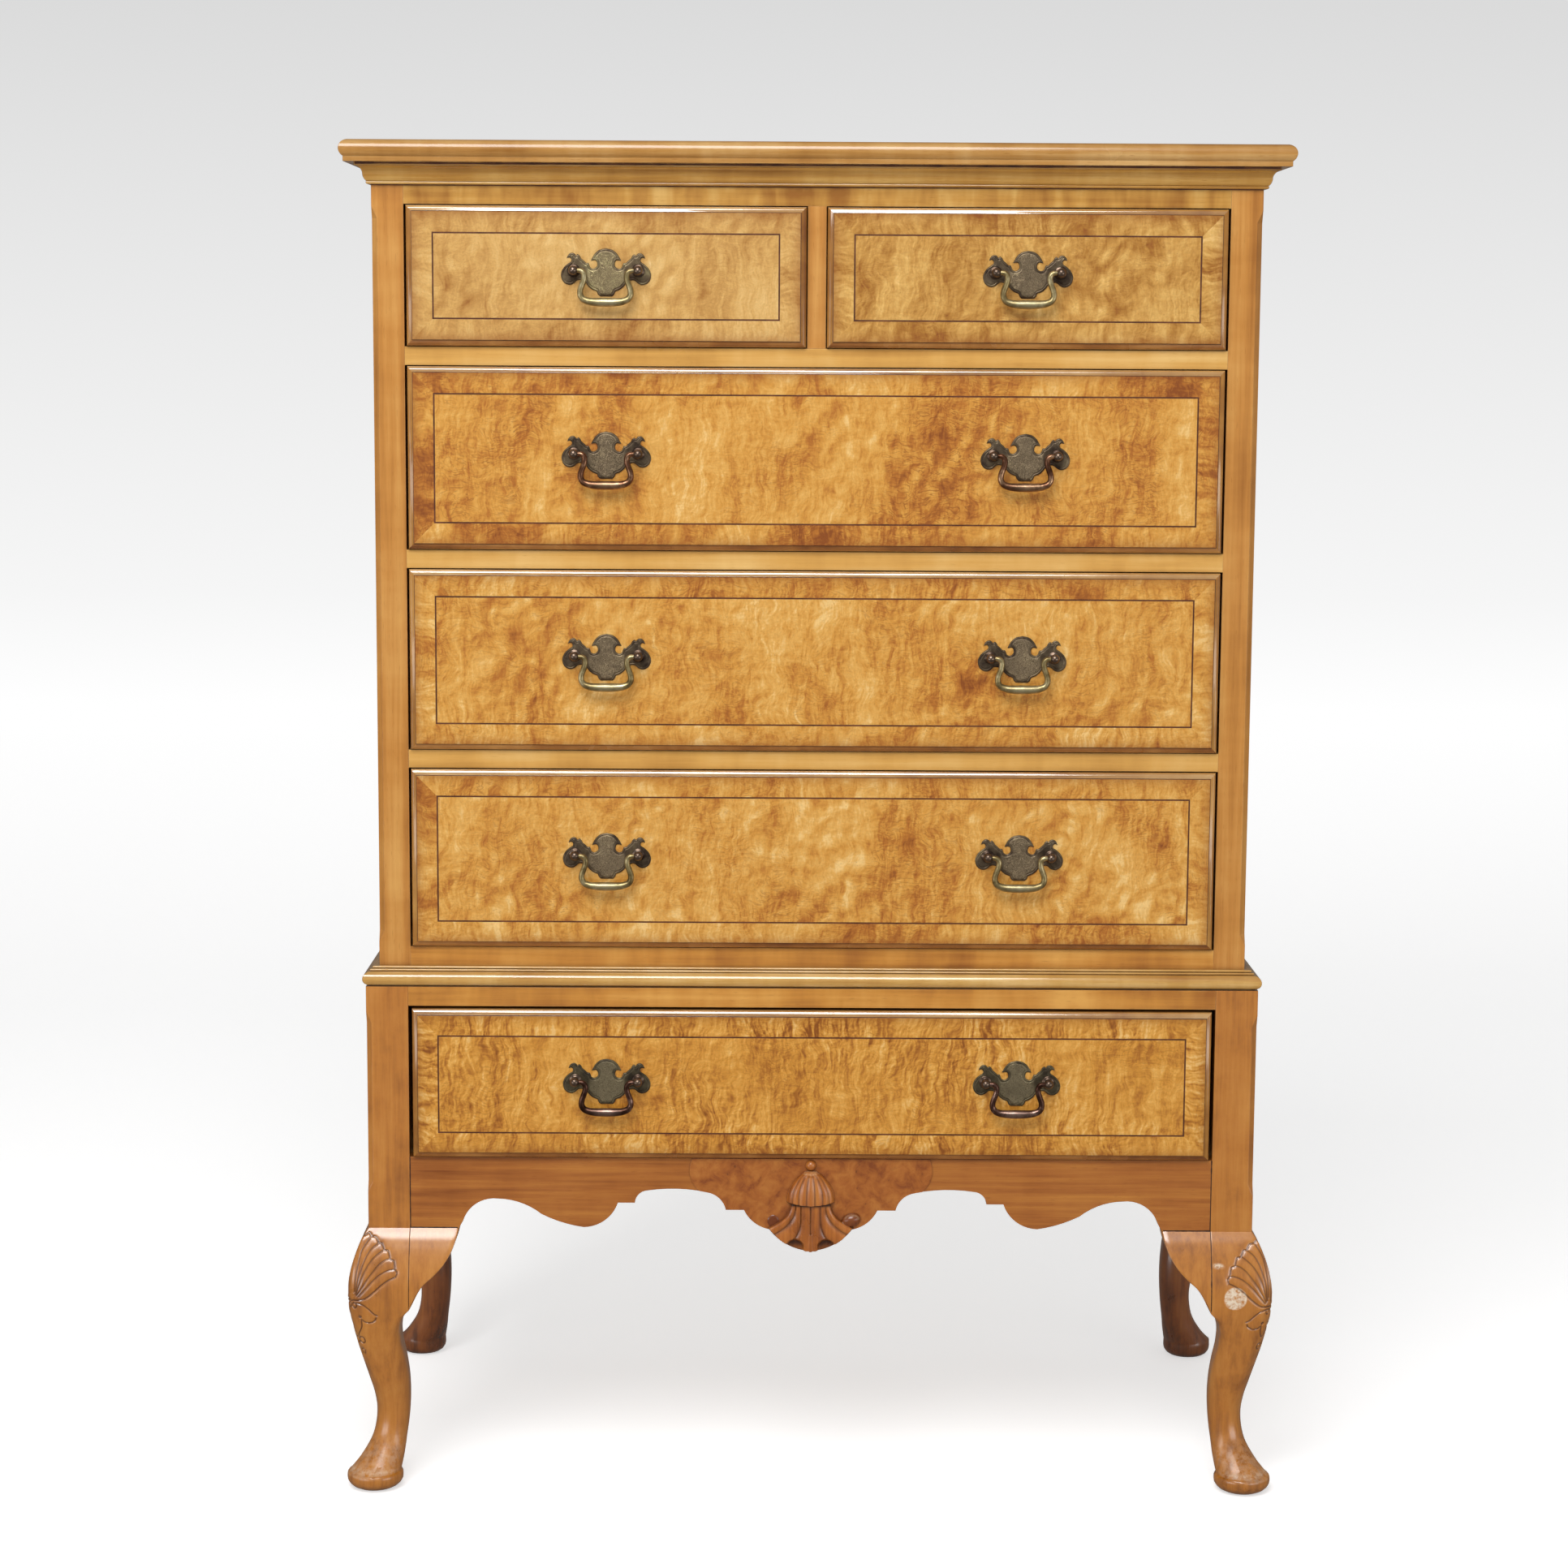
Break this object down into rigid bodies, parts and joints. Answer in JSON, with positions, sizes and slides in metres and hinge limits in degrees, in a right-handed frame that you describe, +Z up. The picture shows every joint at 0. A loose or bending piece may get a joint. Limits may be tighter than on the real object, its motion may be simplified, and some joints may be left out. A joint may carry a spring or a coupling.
{
  "type": "highboy chest of drawers",
  "caption": "Tall chest of moulded drawers on a low stand with cabriole legs, pad feet and a scalloped apron with a carved drop",
  "frame": {"origin": "on the floor, at the centre of the box round the whole part", "axes": "+Z up, the drawer fronts face -Y and slide out along -Y, +X to the right of someone facing the back of the part looking along +Y"},
  "size_m": [0.9588, 0.5183, 1.376],
  "materials": {
    "maple": "satin oil and wax polish",
    "stained_maple": "satin stain and wax polish",
    "red_maple": "satin stain and wax polish",
    "burl_veneer": "satin wax polish",
    "figured_maple_veneer": "semi-gloss shellac and wax",
    "pine_inside": "bare planed wood",
    "aged_brass": "old brown patina"
  },
  "bodies": {
    "case": {"apron": "red_maple", "apron_burl_panel": "burl_veneer", "apron_tassel": "red_maple", "chest_back_boards": "pine_inside", "chest_bottom_board": "pine_inside", "chest_bottom_rail": "maple", "chest_guides": "pine_inside", "chest_runners": "pine_inside", "chest_side_left": "maple", "chest_side_right": "maple", "chest_stile_left": "maple", "chest_stile_right": "maple", "chest_top_rail": "maple", "cornice_front": "maple", "cornice_returns": "maple", "drawer_rails": "maple", "drawer_stops": "pine_inside", "front_leg_left": "stained_maple", "front_leg_right": "stained_maple", "knee_blocks_front": "stained_maple", "knee_blocks_side": "stained_maple", "rear_leg_left": "stained_maple", "rear_leg_right": "stained_maple", "stand_back_board": "pine_inside", "stand_runners": "pine_inside", "stand_side_left": "maple", "stand_side_right": "maple", "stand_top_rail": "maple", "top_board": "maple", "top_drawer_divider": "maple", "waist_moulding_front": "maple", "waist_moulding_returns": "maple"},
    "stand_drawer": {"stand_drawer_front": "figured_maple_veneer", "stand_drawer_box": "pine_inside", "stand_drawer_handle_mounts": "aged_brass"},
    "lower_drawer": {"lower_drawer_front": "figured_maple_veneer", "lower_drawer_box": "pine_inside", "lower_drawer_handle_mounts": "aged_brass"},
    "middle_drawer": {"middle_drawer_front": "figured_maple_veneer", "middle_drawer_box": "pine_inside", "middle_drawer_handle_mounts": "aged_brass"},
    "upper_drawer": {"upper_drawer_front": "figured_maple_veneer", "upper_drawer_box": "pine_inside", "upper_drawer_handle_mounts": "aged_brass"},
    "top_left_drawer": {"top_left_drawer_front": "figured_maple_veneer", "top_left_drawer_box": "pine_inside", "top_left_drawer_handle_mounts": "aged_brass"},
    "top_right_drawer": {"top_right_drawer_front": "figured_maple_veneer", "top_right_drawer_box": "pine_inside", "top_right_drawer_handle_mounts": "aged_brass"},
    "lower_drawer_bail_left_swing": {"lower_drawer_bail_left": "aged_brass"},
    "lower_drawer_bail_right_swing": {"lower_drawer_bail_right": "aged_brass"},
    "middle_drawer_bail_left_swing": {"middle_drawer_bail_left": "aged_brass"},
    "middle_drawer_bail_right_swing": {"middle_drawer_bail_right": "aged_brass"},
    "stand_drawer_bail_left_swing": {"stand_drawer_bail_left": "aged_brass"},
    "stand_drawer_bail_right_swing": {"stand_drawer_bail_right": "aged_brass"},
    "top_left_drawer_bail_swing": {"top_left_drawer_bail": "aged_brass"},
    "top_right_drawer_bail_swing": {"top_right_drawer_bail": "aged_brass"},
    "upper_drawer_bail_left_swing": {"upper_drawer_bail_left": "aged_brass"},
    "upper_drawer_bail_right_swing": {"upper_drawer_bail_right": "aged_brass"}
  },
  "joints": [
    {"name": "stand_drawer_slide", "type": "slide", "parent": "case", "child": "stand_drawer", "axis": [0, -1, 0], "range_m": [0, 0.32]},
    {"name": "stand_drawer_bail_left_hinge", "type": "hinge", "parent": "stand_drawer", "child": "stand_drawer_bail_left_swing", "pos_m": [-0.2089, -0.2545, 0.4349], "axis": [-1, 0, 0], "range_deg": [-15, 180]},
    {"name": "stand_drawer_bail_right_hinge", "type": "hinge", "parent": "stand_drawer", "child": "stand_drawer_bail_right_swing", "pos_m": [0.2089, -0.2545, 0.4349], "axis": [-1, 0, 0], "range_deg": [-15, 180]},
    {"name": "lower_drawer_slide", "type": "slide", "parent": "case", "child": "lower_drawer", "axis": [0, -1, 0], "range_m": [0, 0.32]},
    {"name": "lower_drawer_bail_left_hinge", "type": "hinge", "parent": "lower_drawer", "child": "lower_drawer_bail_left_swing", "pos_m": [-0.2089, -0.2415, 0.6655], "axis": [-1, 0, 0], "range_deg": [-15, 180]},
    {"name": "lower_drawer_bail_right_hinge", "type": "hinge", "parent": "lower_drawer", "child": "lower_drawer_bail_right_swing", "pos_m": [0.2089, -0.2415, 0.6655], "axis": [-1, 0, 0], "range_deg": [-15, 180]},
    {"name": "middle_drawer_slide", "type": "slide", "parent": "case", "child": "middle_drawer", "axis": [0, -1, 0], "range_m": [0, 0.32]},
    {"name": "middle_drawer_bail_left_hinge", "type": "hinge", "parent": "middle_drawer", "child": "middle_drawer_bail_left_swing", "pos_m": [-0.2089, -0.2415, 0.8676], "axis": [-1, 0, 0], "range_deg": [-15, 180]},
    {"name": "middle_drawer_bail_right_hinge", "type": "hinge", "parent": "middle_drawer", "child": "middle_drawer_bail_right_swing", "pos_m": [0.2089, -0.2415, 0.8676], "axis": [-1, 0, 0], "range_deg": [-15, 180]},
    {"name": "upper_drawer_slide", "type": "slide", "parent": "case", "child": "upper_drawer", "axis": [0, -1, 0], "range_m": [0, 0.32]},
    {"name": "upper_drawer_bail_left_hinge", "type": "hinge", "parent": "upper_drawer", "child": "upper_drawer_bail_left_swing", "pos_m": [-0.2089, -0.2415, 1.0697], "axis": [-1, 0, 0], "range_deg": [-15, 180]},
    {"name": "upper_drawer_bail_right_hinge", "type": "hinge", "parent": "upper_drawer", "child": "upper_drawer_bail_right_swing", "pos_m": [0.2089, -0.2415, 1.0697], "axis": [-1, 0, 0], "range_deg": [-15, 180]},
    {"name": "top_left_drawer_slide", "type": "slide", "parent": "case", "child": "top_left_drawer", "axis": [0, -1, 0], "range_m": [0, 0.32]},
    {"name": "top_left_drawer_bail_hinge", "type": "hinge", "parent": "top_left_drawer", "child": "top_left_drawer_bail_swing", "pos_m": [-0.20885, -0.2415, 1.2498], "axis": [-1, 0, 0], "range_deg": [-15, 180]},
    {"name": "top_right_drawer_slide", "type": "slide", "parent": "case", "child": "top_right_drawer", "axis": [0, -1, 0], "range_m": [0, 0.32]},
    {"name": "top_right_drawer_bail_hinge", "type": "hinge", "parent": "top_right_drawer", "child": "top_right_drawer_bail_swing", "pos_m": [0.20885, -0.2415, 1.2498], "axis": [-1, 0, 0], "range_deg": [-15, 180]}
  ]
}
